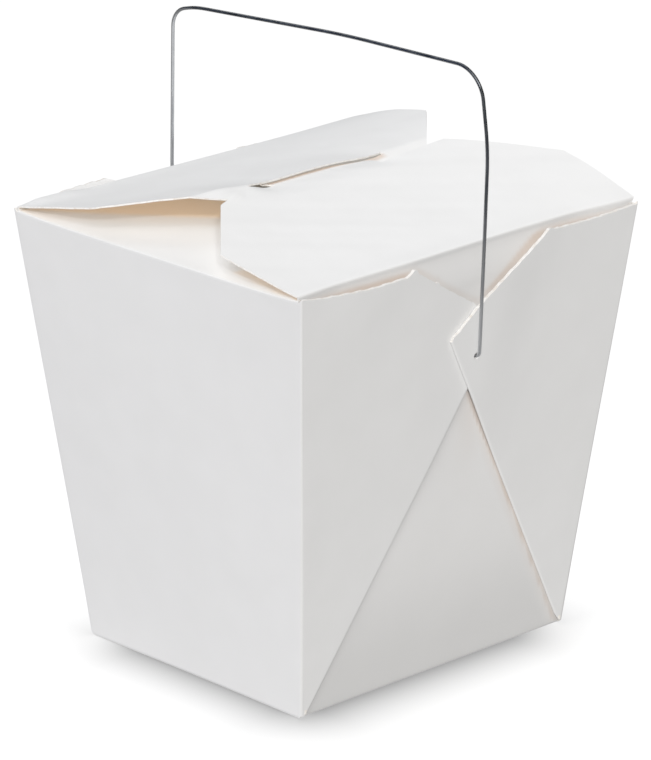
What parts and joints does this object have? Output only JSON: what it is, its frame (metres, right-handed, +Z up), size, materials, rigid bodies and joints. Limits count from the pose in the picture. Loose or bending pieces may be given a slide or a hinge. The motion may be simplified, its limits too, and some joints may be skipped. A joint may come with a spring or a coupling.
{
  "type": "noodle takeaway box",
  "caption": "Shut takeaway pail of folded white board: tapered sides, doubled end gussets, a tongue-and-slot lid and a swinging wire handle.",
  "frame": {"origin": "middle of the base, on the surface that the box stands on", "axes": "+Z up; the plain panels face -Y (front) and +Y (back); the gusseted end panels with the wire holes face -X and +X; the lid's tongue flap is hinged at +X and its slotted flap at -X"},
  "size_m": [0.1042, 0.1034, 0.1432],
  "materials": {
    "white_board": "smooth white coated paperboard, faintly mottled, with raw cut edges",
    "steel_wire": "bright drawn steel wire, softly reflecting"
  },
  "bodies": {
    "box": {"carton": "white_board"},
    "handle": {"wire_handle": "steel_wire"}
  },
  "joints": [
    {"name": "handle_swing", "type": "hinge", "parent": "box", "child": "handle", "pos_m": [0, 0.003, 0.0758], "axis": [1, 0, 0], "range_deg": [-140, 122]}
  ]
}
